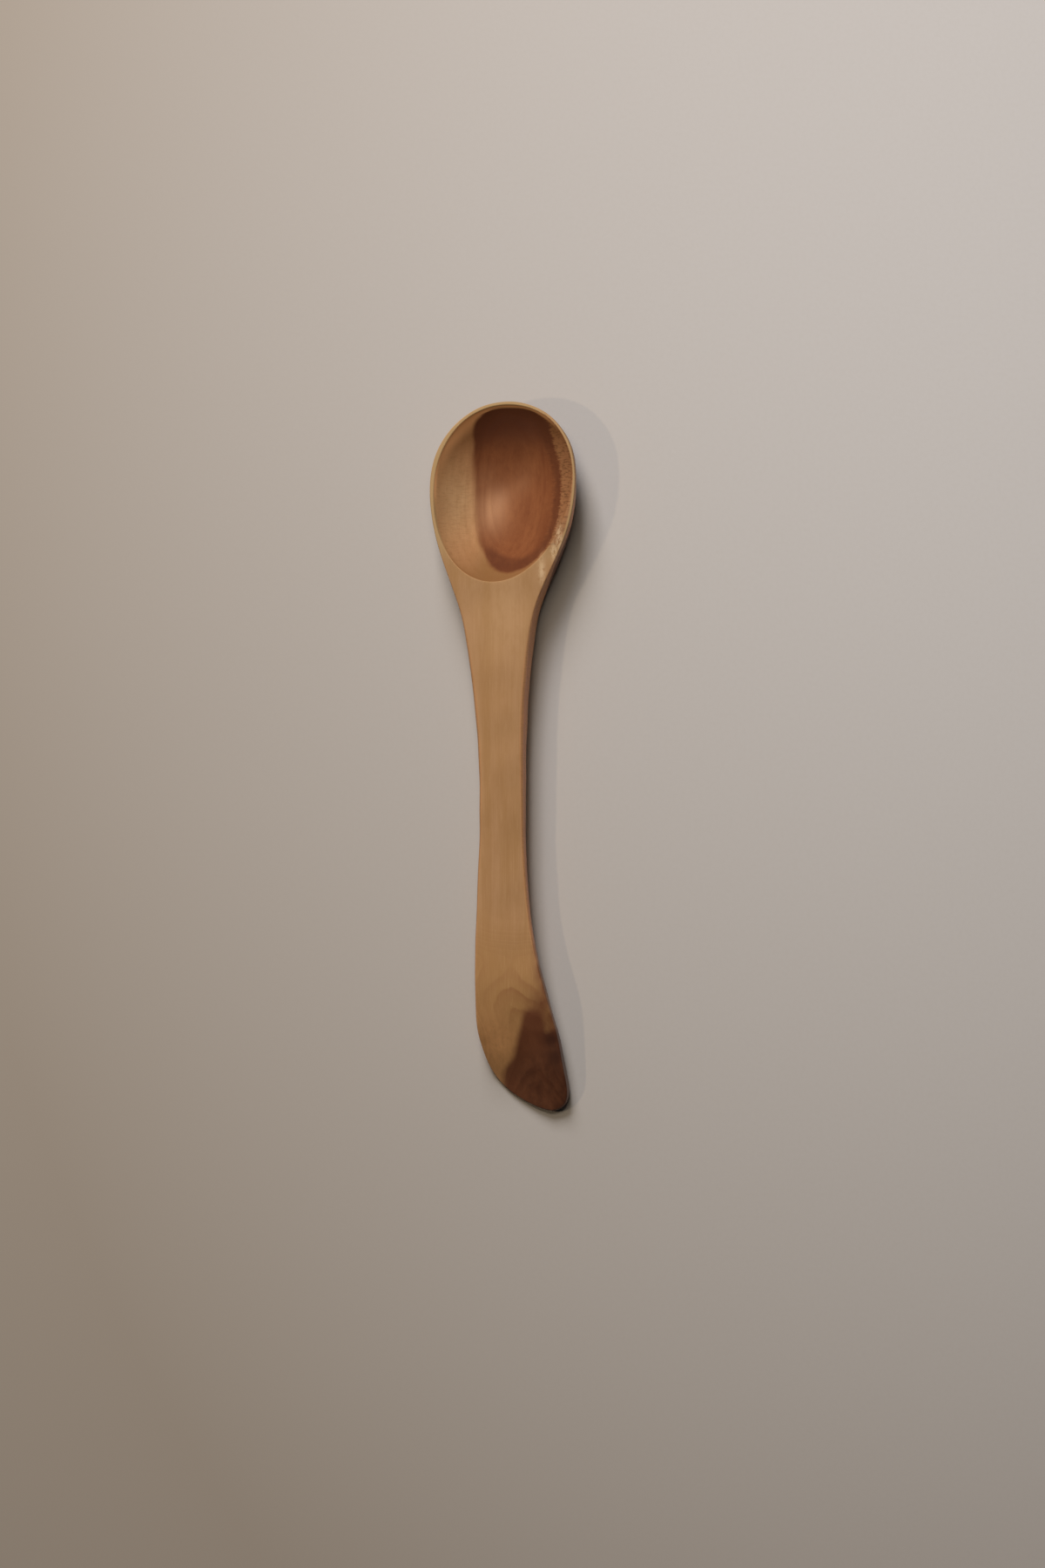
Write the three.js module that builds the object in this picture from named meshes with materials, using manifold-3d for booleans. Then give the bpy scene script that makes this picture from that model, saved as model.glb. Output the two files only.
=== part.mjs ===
import * as THREE from "three";
import * as BufferGeometryUtils from "three/addons/utils/BufferGeometryUtils.js";
import Module from "manifold-3d";

// A small eating spoon, carved by hand from one blank of fruitwood.
// Millimetres. The bowl's tip points to +Y, the hollow faces +Z, and the spoon rests on z = 0.

// Lengths, each from one place to the next, from the tip of the bowl back to the end of the handle.
const TIP_TO_WIDEST = 20.3;
const WIDEST_TO_SHOULDER = 13.0;
const SHOULDER_TO_HOLLOW_END = 11.8;
const HOLLOW_END_TO_ROOT = 8.2;
const ROOT_TO_NECK = 8.0;
const NECK_TO_STEM = 14.0;
const STEM_TO_WAIST = 24.0;
const WAIST_TO_FLARE = 40.0;
const FLARE_TO_BEND = 15.0;
const BEND_TO_TAIL = 8.0;
const TAIL_TO_LOBE = 9.4;
const LOBE_TO_END = 7.4;

// Widths across the top edges at those places.
const BOWL_WIDTH = 37.5;
const SHOULDER_WIDTH = 33.8;
const HOLLOW_END_WIDTH = 24.9;
const ROOT_WIDTH = 19.1;
const NECK_WIDTH = 16.1;
const STEM_WIDTH = 13.1;
const WAIST_WIDTH = 11.3;
const FLARE_WIDTH = 15.6;
const BEND_WIDTH = 19.4;
const TAIL_WIDTH = 20.6;

// How far the middle of the width lies to the right of the bowl's middle at those places.
const TIP_SWAY = 1.5;
const SHOULDER_SWAY = -0.6;
const HOLLOW_END_SWAY = -1.5;
const NECK_SWAY = -1.7;
const WAIST_SWAY = -0.95;
const FLARE_SWAY = 0.05;
const BEND_SWAY = 2.1;
const TAIL_SWAY = 3.2;
const LOBE_SWAY = 5.8;
const END_SWAY = 10.4;

// Heights of the top edges above the table.
const RIM_HEIGHT = 13.5;
const SHOULDER_HEIGHT = 13.3;
const HOLLOW_END_HEIGHT = 12.5;
const ROOT_HEIGHT = 12.0;
const NECK_HEIGHT = 11.8;
const STEM_HEIGHT = 11.5;
const WAIST_HEIGHT = 10.9;
const FLARE_HEIGHT = 10.6;
const BEND_HEIGHT = 10.2;
const TAIL_HEIGHT = 7.3;
const LOBE_HEIGHT = 3.8;
const END_HEIGHT = 2.2;

// How much the top face rises to the right for each millimetre across, where its end is carved down.
const TAIL_LEAN = 0.09;
const LOBE_LEAN = 0.27;
const END_LEAN = 0.12;

// Thickness of the wood from the top edges down to the underside.
const SHOULDER_THICKNESS = 12.85;
const HOLLOW_END_THICKNESS = 11.0;
const ROOT_THICKNESS = 10.3;
const NECK_THICKNESS = 9.6;
const STEM_THICKNESS = 8.3;
const WAIST_THICKNESS = 5.7;
const FLARE_THICKNESS = 6.3;
const TAIL_THICKNESS = 6.0;

// The hollow of the bowl.
const RIM_FRONT = 0.9;
const RIM_SIDE = 1.2;
const FLOOR_THICKNESS = 2.6;
const HOLLOW_SWAY = 0.1;
const HOLLOW_END_TURN = -2.8;
const HOLLOW_STEEPNESS = 0.95;
const WIDEST_TO_DEEPEST = 2.0;

// Roundness of the outlines seen from above: 2 is an ellipse, and more is squarer.
const BOWL_ROUNDNESS = 2.07;
const END_LENGTHWISE_ROUNDNESS = 2.8;
const END_CROSSWISE_ROUNDNESS = 1.7;

// Roundness of the underside in cross-section.
const BOWL_BELLY = 2.05;
const SHOULDER_BELLY = 3.6;
const HOLLOW_END_BELLY = 6.0;
const NECK_BELLY = 6.5;
const WAIST_BELLY = 6.0;
const TAIL_BELLY = 4.0;
const END_BELLY = 6.0;

// Edges softened by sanding, the slight crown of the handle's top, and the flats that it rests on.
const RIM_SOFTENING = 0.35;
const HOLLOW_EDGE_SOFTENING = 0.45;
const HANDLE_SOFTENING = 0.9;
const HANDLE_CROWN = 0.3;
const BOWL_FOOT_CUT = 0.75;
const END_FOOT_CUT = 0.4;
const END_FOOT_LENGTH = 9.0;

// How finely the faces follow the curves.
const FRONT_STEPS = 20;
const HOLLOW_BACK_STEPS = 18;
const HANDLE_STEPS = 36;
const END_STEPS = 12;
const FLANK_STEPS = 10;
const EDGE_STEPS = 2;
const TOP_STEPS = 2;
const HOLLOW_STEPS = 11;
const ROW_SLANT = 7;
const WELD_DISTANCE = 1e-4;

// Faces thinner than this merge into their neighbours, as sanding would leave them.
const SMALLEST_DETAIL = 0.012;

// Places along the spoon, measured from the widest place of the bowl.
const tipAt = TIP_TO_WIDEST;
const shoulderAt = -WIDEST_TO_SHOULDER;
const hollowEndAt = shoulderAt - SHOULDER_TO_HOLLOW_END;
const rootAt = hollowEndAt - HOLLOW_END_TO_ROOT;
const neckAt = rootAt - ROOT_TO_NECK;
const stemAt = neckAt - NECK_TO_STEM;
const waistAt = stemAt - STEM_TO_WAIST;
const flareAt = waistAt - WAIST_TO_FLARE;
const bendAt = flareAt - FLARE_TO_BEND;
const tailAt = bendAt - BEND_TO_TAIL;
const lobeAt = tailAt - TAIL_TO_LOBE;
const endAt = lobeAt - LOBE_TO_END;

// A smooth curve through [place, value] pairs. Its slope at either end is free where none is given.
function curveThrough(pairs, startSlope, endSlope) {
  const points = [...pairs].sort((a, b) => a[0] - b[0]);
  const count = points.length;
  const bend = new Array(count).fill(0);
  const carried = new Array(count).fill(0);
  const slope = (i) => (points[i + 1][1] - points[i][1]) / (points[i + 1][0] - points[i][0]);
  const span = (i) => points[i + 1][0] - points[i][0];
  if (startSlope !== undefined) {
    bend[0] = -0.5;
    carried[0] = (3 / span(0)) * (slope(0) - startSlope);
  }
  for (let i = 1; i < count - 1; i += 1) {
    const share = span(i - 1) / (span(i - 1) + span(i));
    const pivot = share * bend[i - 1] + 2;
    const turn = (6 * (slope(i) - slope(i - 1))) / (span(i - 1) + span(i));
    bend[i] = (share - 1) / pivot;
    carried[i] = (turn - share * carried[i - 1]) / pivot;
  }
  let last = 0;
  if (endSlope !== undefined) {
    const turn = (3 / span(count - 2)) * (endSlope - slope(count - 2));
    last = (turn - 0.5 * carried[count - 2]) / (0.5 * bend[count - 2] + 1);
  }
  bend[count - 1] = last;
  for (let i = count - 2; i >= 0; i -= 1) {
    bend[i] = bend[i] * bend[i + 1] + carried[i];
  }
  return (place) => {
    const inside = THREE.MathUtils.clamp(place, points[0][0], points[count - 1][0]);
    let i = 0;
    while (i < count - 2 && inside > points[i + 1][0]) {
      i += 1;
    }
    const width = span(i);
    const after = (inside - points[i][0]) / width;
    const before = 1 - after;
    const sag = (before ** 3 - before) * bend[i] + (after ** 3 - after) * bend[i + 1];
    return before * points[i][1] + after * points[i + 1][1] + (sag * width * width) / 6;
  };
}

// The shape of the spoon as curves along its length.
const middle = curveThrough([
  [tipAt, TIP_SWAY],
  [0, 0],
  [shoulderAt, SHOULDER_SWAY],
  [hollowEndAt, HOLLOW_END_SWAY],
  [neckAt, NECK_SWAY],
  [waistAt, WAIST_SWAY],
  [flareAt, FLARE_SWAY],
  [bendAt, BEND_SWAY],
  [tailAt, TAIL_SWAY],
  [lobeAt, LOBE_SWAY],
  [endAt, END_SWAY],
]);
const bodyWidth = curveThrough([
  [0, BOWL_WIDTH],
  [shoulderAt, SHOULDER_WIDTH],
  [hollowEndAt, HOLLOW_END_WIDTH],
  [rootAt, ROOT_WIDTH],
  [neckAt, NECK_WIDTH],
  [stemAt, STEM_WIDTH],
  [waistAt, WAIST_WIDTH],
  [flareAt, FLARE_WIDTH],
  [bendAt, BEND_WIDTH],
  [tailAt, TAIL_WIDTH],
], 0, 0);
const topHeight = curveThrough([
  [tipAt, RIM_HEIGHT],
  [0, RIM_HEIGHT],
  [shoulderAt, SHOULDER_HEIGHT],
  [hollowEndAt, HOLLOW_END_HEIGHT],
  [rootAt, ROOT_HEIGHT],
  [neckAt, NECK_HEIGHT],
  [stemAt, STEM_HEIGHT],
  [waistAt, WAIST_HEIGHT],
  [flareAt, FLARE_HEIGHT],
  [bendAt, BEND_HEIGHT],
  [tailAt, TAIL_HEIGHT],
  [lobeAt, LOBE_HEIGHT],
  [endAt, END_HEIGHT],
]);
const topLean = curveThrough([
  [bendAt, 0],
  [tailAt, TAIL_LEAN],
  [lobeAt, LOBE_LEAN],
  [endAt, END_LEAN],
], undefined, 0);
const keelHeight = curveThrough([
  [tipAt, -BOWL_FOOT_CUT],
  [0, -BOWL_FOOT_CUT],
  [shoulderAt, SHOULDER_HEIGHT - SHOULDER_THICKNESS],
  [hollowEndAt, HOLLOW_END_HEIGHT - HOLLOW_END_THICKNESS],
  [rootAt, ROOT_HEIGHT - ROOT_THICKNESS],
  [neckAt, NECK_HEIGHT - NECK_THICKNESS],
  [stemAt, STEM_HEIGHT - STEM_THICKNESS],
  [waistAt, WAIST_HEIGHT - WAIST_THICKNESS],
  [flareAt, FLARE_HEIGHT - FLARE_THICKNESS],
  [tailAt, TAIL_HEIGHT - TAIL_THICKNESS],
  [endAt + END_FOOT_LENGTH, -END_FOOT_CUT],
  [endAt, -END_FOOT_CUT],
]);
const belly = curveThrough([
  [tipAt, BOWL_BELLY],
  [0, BOWL_BELLY],
  [shoulderAt, SHOULDER_BELLY],
  [hollowEndAt, HOLLOW_END_BELLY],
  [neckAt, NECK_BELLY],
  [waistAt, WAIST_BELLY],
  [tailAt, TAIL_BELLY],
  [endAt, END_BELLY],
]);
const softening = curveThrough([
  [tipAt, RIM_SOFTENING],
  [0, RIM_SOFTENING],
  [hollowEndAt, RIM_SOFTENING],
  [neckAt, HANDLE_SOFTENING],
  [waistAt, HANDLE_SOFTENING],
  [endAt, RIM_SOFTENING],
]);
const hollowMiddle = curveThrough([
  [tipAt, TIP_SWAY + HOLLOW_SWAY],
  [0, HOLLOW_SWAY],
  [hollowEndAt, HOLLOW_END_TURN],
]);

// Half the width at a place, with the bowl's round front and the handle's round end.
function halfWidth(place) {
  if (place > 0) {
    const out = Math.min(place / TIP_TO_WIDEST, 1) ** BOWL_ROUNDNESS;
    return (BOWL_WIDTH / 2) * (1 - out) ** (1 / BOWL_ROUNDNESS);
  }
  if (place < tailAt) {
    const out = Math.min((tailAt - place) / (tailAt - endAt), 1) ** END_LENGTHWISE_ROUNDNESS;
    return (TAIL_WIDTH / 2) * (1 - out) ** (1 / END_CROSSWISE_ROUNDNESS);
  }
  return bodyWidth(place) / 2;
}

// The places where the rows of faces meet the outline, from the tip to the end. Beside the hollow
// a row also has a turn round it: 0 at its front, 1 at its widest place and 2 at its back.
// Behind it a row has the slant with which it crosses the top face.
function outlineRows() {
  const rows = [];
  const backAt = hollowEndAt - ROW_SLANT;
  for (let i = 0; i <= FRONT_STEPS; i += 1) {
    const angle = (Math.PI / 2) * (1 - i / FRONT_STEPS);
    const place = TIP_TO_WIDEST * Math.sin(angle) ** (2 / BOWL_ROUNDNESS);
    rows.push({ place, turn: i / FRONT_STEPS });
  }
  for (let i = 1; i <= HOLLOW_BACK_STEPS; i += 1) {
    const share = i / HOLLOW_BACK_STEPS;
    rows.push({ place: backAt * share, turn: 1 + share });
  }
  for (let i = 1; i <= HANDLE_STEPS; i += 1) {
    const share = i / HANDLE_STEPS;
    rows.push({ place: THREE.MathUtils.lerp(backAt, tailAt, share), slant: (1 - share) ** 3 });
  }
  for (let i = 1; i <= END_STEPS; i += 1) {
    const angle = (Math.PI / 2) * (i / END_STEPS);
    const out = Math.sin(angle) ** (2 / END_LENGTHWISE_ROUNDNESS);
    const place = THREE.MathUtils.lerp(tailAt, endAt, out);
    rows.push({ place, slant: 0 });
  }
  return rows;
}

// A point of the hollow's edge, or of a line outside it by a margin, on the side -1 or 1.
function hollowEdge(turn, side, margin) {
  const angle = (Math.PI / 2) * (1 - turn);
  const half = BOWL_WIDTH / 2 - RIM_SIDE + margin;
  if (turn < 1) {
    const front = TIP_TO_WIDEST - RIM_FRONT + margin;
    const place = front * Math.sin(angle) ** (2 / BOWL_ROUNDNESS);
    const reach = turn > 0 ? half * Math.cos(angle) ** (2 / BOWL_ROUNDNESS) : 0;
    return new THREE.Vector2(hollowMiddle(place) + side * reach, place);
  }
  const place = (margin - hollowEndAt) * Math.sin(angle);
  const reach = turn < 2 ? half * Math.cos(angle) : 0;
  return new THREE.Vector2(hollowMiddle(place) + side * reach, place);
}

// The height of the top face without its crown, at a point seen from above.
function topEdgeHeight(point) {
  return topHeight(point.y) + topLean(point.y) * (point.x - middle(point.y));
}

// The height of the top face at a point seen from above.
function topFaceHeight(point) {
  const half = Math.max(halfWidth(point.y), WELD_DISTANCE);
  const across = Math.min(Math.abs(point.x - middle(point.y)) / half, 1);
  return topEdgeHeight(point) + HANDLE_CROWN * (1 - across * across);
}

// Moves each point of a closed line seen from above to the left of its direction.
function shiftedLine(line, distanceAt) {
  return line.map((point, i) => {
    const before = line[(i + line.length - 1) % line.length];
    const after = line[(i + 1) % line.length];
    const along = after.clone().sub(before).normalize();
    const distance = distanceAt(point);
    return new THREE.Vector2(point.x - along.y * distance, point.y + along.x * distance);
  });
}

// Points of a closed line at given heights.
function raised(line, heightAt) {
  return line.map((point, i) => new THREE.Vector3(point.x, point.y, heightAt(point, i)));
}

// The faces between closed rings of points that follow each other over the surface.
function skin(rings) {
  const corners = [];
  const face = (a, b, c) => {
    const doubled = a.distanceTo(b) < WELD_DISTANCE || b.distanceTo(c) < WELD_DISTANCE;
    if (!doubled && c.distanceTo(a) > WELD_DISTANCE) {
      corners.push(a, b, c);
    }
  };
  for (let ring = 0; ring < rings.length - 1; ring += 1) {
    const lower = rings[ring];
    const upper = rings[ring + 1];
    for (let i = 0; i < lower.length; i += 1) {
      const next = (i + 1) % lower.length;
      face(lower[i], upper[next], upper[i]);
      face(lower[i], lower[next], upper[next]);
    }
  }
  return corners;
}

// All rows of the outline as one closed line, down the left side and up the right side.
const rows = outlineRows();
const loop = [
  ...rows.map((row) => ({ ...row, side: -1 })),
  ...rows.slice(1, -1).reverse().map((row) => ({ ...row, side: 1 })),
];
const outline = loop.map(({ place, side }) => {
  const half = place > endAt ? halfWidth(place) : 0;
  return new THREE.Vector2(middle(place) + side * half, place);
});

// The line under the belly that the rows of the underside run to.
const keel = loop.map(({ place }) => {
  const inside = THREE.MathUtils.clamp(place, tailAt, 0);
  return new THREE.Vector2(middle(inside), inside);
});

// The underside, from the keel out and up to the outline.
function undersideRings() {
  const rings = [];
  for (let step = 0; step <= FLANK_STEPS; step += 1) {
    const angle = (Math.PI / 2) * (1 - step / FLANK_STEPS);
    rings.push(outline.map((edge, i) => {
      const fullness = belly(Math.min(loop[i].place, 0));
      const reach = step > 0 ? Math.cos(angle) ** (2 / fullness) : 0;
      const depth = step < FLANK_STEPS ? Math.sin(angle) ** (2 / fullness) : 0;
      const point = keel[i].clone().lerp(edge, reach);
      const edgeHeight = topEdgeHeight(point) - softening(point.y);
      const height = THREE.MathUtils.lerp(edgeHeight, keelHeight(point.y), depth);
      return new THREE.Vector3(point.x, point.y, height);
    }));
  }
  return rings;
}

// The edge of the hollow and the lip just outside it, down the left side and up the right side.
const hollowRows = loop.filter(({ turn }) => turn !== undefined);
const hollowLine = hollowRows.map(({ turn, side }) => hollowEdge(turn, side, 0));
const hollowLip = hollowRows.map(({ turn, side }) => hollowEdge(turn, side, HOLLOW_EDGE_SOFTENING));

// The line that the rows of the top face run to: the hollow's lip, then the middle of the handle.
// Behind the hollow the rows slant forward to it, less and less towards the tail.
const topTarget = loop.map(({ place, turn, slant, side }) => {
  if (turn !== undefined) {
    return hollowEdge(turn, side, HOLLOW_EDGE_SOFTENING);
  }
  const lipEnd = hollowEdge(2, side, HOLLOW_EDGE_SOFTENING);
  const ahead = Math.max(place, tailAt) + (lipEnd.y - hollowEndAt + ROW_SLANT) * slant;
  return new THREE.Vector2(middle(ahead) + (lipEnd.x - middle(lipEnd.y)) * slant, ahead);
});

// The top face, from the outline over its softened edge and inwards.
function topRings() {
  const rings = [];
  for (let step = 1; step <= EDGE_STEPS; step += 1) {
    const angle = (Math.PI / 2) * (step / EDGE_STEPS);
    const line = shiftedLine(outline, (point) => softening(point.y) * (1 - Math.cos(angle)));
    rings.push(raised(line, (point, i) => {
      const drop = softening(outline[i].y) * (1 - Math.sin(angle));
      return topFaceHeight(point) - drop;
    }));
  }
  const innerEdge = rings[rings.length - 1];
  for (let step = 1; step <= TOP_STEPS; step += 1) {
    const line = innerEdge.map((point, i) => {
      return new THREE.Vector2(point.x, point.y).lerp(topTarget[i], step / TOP_STEPS);
    });
    rings.push(raised(line, topFaceHeight));
  }
  return rings;
}

// The hollow, from its lip over its softened edge and down to its deepest point.
function hollowRings() {
  const deepest = new THREE.Vector2(hollowMiddle(-WIDEST_TO_DEEPEST), -WIDEST_TO_DEEPEST);
  const rings = [raised(hollowLip, topFaceHeight)];
  for (let step = 0; step <= HOLLOW_STEPS; step += 1) {
    const angle = (Math.PI / 2) * (step / HOLLOW_STEPS);
    const out = step < HOLLOW_STEPS ? Math.cos(angle) : 0;
    rings.push(hollowLine.map((edge) => {
      const point = deepest.clone().lerp(edge, out);
      const edgeHeight = topFaceHeight(edge) - HOLLOW_EDGE_SOFTENING;
      const depth = (1 - out * out) ** HOLLOW_STEEPNESS;
      const height = THREE.MathUtils.lerp(edgeHeight, FLOOR_THICKNESS, depth);
      return new THREE.Vector3(point.x, point.y, height);
    }));
  }
  return rings;
}

const wasm = await Module();
wasm.setup();

// A closed three.js geometry as a solid that can be cut.
function toSolid(geometry) {
  const bare = geometry.clone();
  bare.deleteAttribute("normal");
  bare.deleteAttribute("uv");
  const welded = BufferGeometryUtils.mergeVertices(bare, WELD_DISTANCE);
  return new wasm.Manifold(new wasm.Mesh({
    numProp: 3,
    vertProperties: welded.attributes.position.array,
    triVerts: new Uint32Array(welded.index.array),
  }));
}

// A cut solid as a three.js geometry.
function toGeometry(solid) {
  const mesh = solid.getMesh();
  const geometry = new THREE.BufferGeometry();
  geometry.setAttribute("position", new THREE.BufferAttribute(mesh.vertProperties, 3));
  geometry.setIndex(new THREE.BufferAttribute(mesh.triVerts, 1));
  geometry.computeVertexNormals();
  return geometry;
}

// The carved wood before the flats are shaved under it.
function carvedBody() {
  const corners = [...skin([...undersideRings(), ...topRings()]), ...skin(hollowRings())];
  return new THREE.BufferGeometry().setFromPoints(corners);
}

// The block of air under the table's surface, which shaves the resting flats.
function belowTable() {
  const length = TIP_TO_WIDEST - endAt;
  const block = new THREE.BoxGeometry(2 * length, 4 * length, length);
  return block.translate(0, 0, -length / 2);
}

function makeSpoon() {
  const shaved = toSolid(carvedBody()).subtract(toSolid(belowTable()));
  const geometry = toGeometry(shaved.simplify(SMALLEST_DETAIL));
  const wood = new THREE.MeshStandardMaterial({ color: 0xb98a5a, roughness: 0.5, metalness: 0 });
  const mesh = new THREE.Mesh(geometry, wood);
  mesh.name = "spoon";
  return mesh;
}

// The whole part, with its origin under the middle of its overall size.
const spoon = makeSpoon();
const bounds = new THREE.Box3().setFromObject(spoon);
const centre = bounds.getCenter(new THREE.Vector3());
spoon.position.set(-centre.x, -centre.y, -bounds.min.z);
const part = new THREE.Group();
part.add(spoon);

export default part;
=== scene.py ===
"""A small eating spoon, carved by hand from one blank of fruitwood, lying on a sheet of pale paper.

The shape is worked out in millimetres in the spoon's own frame: y is 0 at the widest place of the
bowl, the tip points to +y and the hollow faces +z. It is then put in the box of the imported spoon.
"""

import math

import bmesh
import bpy
import numpy as np
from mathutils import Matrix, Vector


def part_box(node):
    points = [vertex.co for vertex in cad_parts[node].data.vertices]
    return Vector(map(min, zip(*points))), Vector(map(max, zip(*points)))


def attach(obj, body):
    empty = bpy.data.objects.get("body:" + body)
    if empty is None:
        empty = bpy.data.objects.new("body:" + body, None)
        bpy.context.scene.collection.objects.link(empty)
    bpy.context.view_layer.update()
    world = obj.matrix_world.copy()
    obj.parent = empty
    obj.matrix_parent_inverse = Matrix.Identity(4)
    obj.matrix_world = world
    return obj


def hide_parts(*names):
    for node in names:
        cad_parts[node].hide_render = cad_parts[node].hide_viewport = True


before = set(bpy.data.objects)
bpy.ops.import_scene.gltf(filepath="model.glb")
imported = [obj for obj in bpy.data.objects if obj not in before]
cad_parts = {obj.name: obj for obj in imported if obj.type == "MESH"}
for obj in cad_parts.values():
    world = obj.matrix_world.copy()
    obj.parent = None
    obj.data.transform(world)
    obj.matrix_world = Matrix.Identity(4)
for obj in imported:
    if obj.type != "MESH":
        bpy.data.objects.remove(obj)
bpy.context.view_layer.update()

MM = 0.001

# Lengths, each from one place to the next, from the tip of the bowl back to the end of the handle.
TIP_TO_WIDEST = 20.3
WIDEST_TO_SHOULDER = 13.0
SHOULDER_TO_HOLLOW_END = 11.8
HOLLOW_END_TO_ROOT = 8.2
ROOT_TO_NECK = 8.0
NECK_TO_STEM = 14.0
STEM_TO_WAIST = 24.0
WAIST_TO_FLARE = 40.0
FLARE_TO_BEND = 15.0
BEND_TO_TAIL = 8.0
TAIL_TO_LOBE = 9.4
LOBE_TO_END = 7.4

# Widths across the top edges at those places.
BOWL_WIDTH = 37.5
SHOULDER_WIDTH = 33.8
HOLLOW_END_WIDTH = 24.9
ROOT_WIDTH = 19.1
NECK_WIDTH = 16.1
STEM_WIDTH = 13.1
WAIST_WIDTH = 11.3
FLARE_WIDTH = 15.6
BEND_WIDTH = 19.4
TAIL_WIDTH = 20.6

# How far the middle of the width lies to the right of the bowl's middle at those places.
TIP_SWAY = 1.5
SHOULDER_SWAY = -0.6
HOLLOW_END_SWAY = -1.5
NECK_SWAY = -1.7
WAIST_SWAY = -0.95
FLARE_SWAY = 0.05
BEND_SWAY = 2.1
TAIL_SWAY = 3.2
LOBE_SWAY = 5.8
END_SWAY = 10.4

# Heights of the top edges above the table.
RIM_HEIGHT = 13.5
SHOULDER_HEIGHT = 13.3
HOLLOW_END_HEIGHT = 12.5
ROOT_HEIGHT = 12.0
NECK_HEIGHT = 11.8
STEM_HEIGHT = 11.5
WAIST_HEIGHT = 10.9
FLARE_HEIGHT = 10.6
BEND_HEIGHT = 10.2
TAIL_HEIGHT = 7.3
LOBE_HEIGHT = 3.8
END_HEIGHT = 2.2

# How much the top face rises to the right for each millimetre across, where its end is carved down.
TAIL_LEAN = 0.09
LOBE_LEAN = 0.27
END_LEAN = 0.12

# Thickness of the wood from the top edges down to the underside.
SHOULDER_THICKNESS = 12.85
HOLLOW_END_THICKNESS = 11.0
ROOT_THICKNESS = 10.3
NECK_THICKNESS = 9.6
STEM_THICKNESS = 8.3
WAIST_THICKNESS = 5.7
FLARE_THICKNESS = 6.3
TAIL_THICKNESS = 6.0

# The hollow of the bowl.
RIM_FRONT = 0.9
RIM_SIDE = 1.2
FLOOR_THICKNESS = 2.6
HOLLOW_SWAY = 0.1
HOLLOW_END_TURN = -2.8
HOLLOW_STEEPNESS = 0.95
WIDEST_TO_DEEPEST = 2.0

# Roundness of the outlines seen from above: 2 is an ellipse, and more is squarer.
BOWL_ROUNDNESS = 2.07
END_LENGTHWISE_ROUNDNESS = 2.8
END_CROSSWISE_ROUNDNESS = 1.7

# Roundness of the underside in cross-section.
BOWL_BELLY = 2.05
SHOULDER_BELLY = 3.6
HOLLOW_END_BELLY = 6.0
NECK_BELLY = 6.5
WAIST_BELLY = 6.0
TAIL_BELLY = 4.0
END_BELLY = 6.0

# Edges softened by sanding, the crown of the handle's top, and the flats that it rests on.
RIM_SOFTENING = 0.35
HOLLOW_EDGE_SOFTENING = 0.45
HANDLE_SOFTENING = 0.9
HANDLE_CROWN = 0.3
BOWL_FOOT_CUT = 0.75
END_FOOT_CUT = 0.4
END_FOOT_LENGTH = 9.0

# How finely the mesh follows the curves.
FRONT_STEPS = 72
HOLLOW_BACK_STEPS = 72
HANDLE_STEPS = 200
END_STEPS = 60
FLANK_STEPS = 40
EDGE_STEPS = 7
TOP_STEPS = 12
HOLLOW_STEPS = 60
ROW_SLANT = 7
ROW_SLANT_FADE = 3
WELD_DISTANCE = 1e-3

# Places along the spoon.
tip_at = TIP_TO_WIDEST
shoulder_at = -WIDEST_TO_SHOULDER
hollow_end_at = shoulder_at - SHOULDER_TO_HOLLOW_END
root_at = hollow_end_at - HOLLOW_END_TO_ROOT
neck_at = root_at - ROOT_TO_NECK
stem_at = neck_at - NECK_TO_STEM
waist_at = stem_at - STEM_TO_WAIST
flare_at = waist_at - WAIST_TO_FLARE
bend_at = flare_at - FLARE_TO_BEND
tail_at = bend_at - BEND_TO_TAIL
lobe_at = tail_at - TAIL_TO_LOBE
end_at = lobe_at - LOBE_TO_END


def curve_through(pairs, start_slope=None, end_slope=None):
    """A smooth curve through (place, value) pairs. Its slope at either end is free if not given."""
    x, y = np.array(sorted(pairs), float).T
    span = np.diff(x)
    slope = np.diff(y) / span
    count = len(x)
    rows = np.zeros((count, count))
    right = np.zeros(count)
    rows[0, 0] = rows[-1, -1] = 1
    if start_slope is not None:
        rows[0, :2] = 2, 1
        right[0] = 6 * (slope[0] - start_slope) / span[0]
    if end_slope is not None:
        rows[-1, -2:] = 1, 2
        right[-1] = 6 * (end_slope - slope[-1]) / span[-1]
    for i in range(1, count - 1):
        rows[i, i - 1:i + 2] = span[i - 1], 2 * (span[i - 1] + span[i]), span[i]
        right[i] = 6 * (slope[i] - slope[i - 1])
    bend = np.linalg.solve(rows, right)

    def curve(place):
        inside = np.clip(place, x[0], x[-1])
        i = np.clip(np.searchsorted(x, inside) - 1, 0, count - 2)
        after = (inside - x[i]) / span[i]
        before = 1 - after
        sag = (before**3 - before) * bend[i] + (after**3 - after) * bend[i + 1]
        return before * y[i] + after * y[i + 1] + sag * span[i] ** 2 / 6

    return curve


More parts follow.
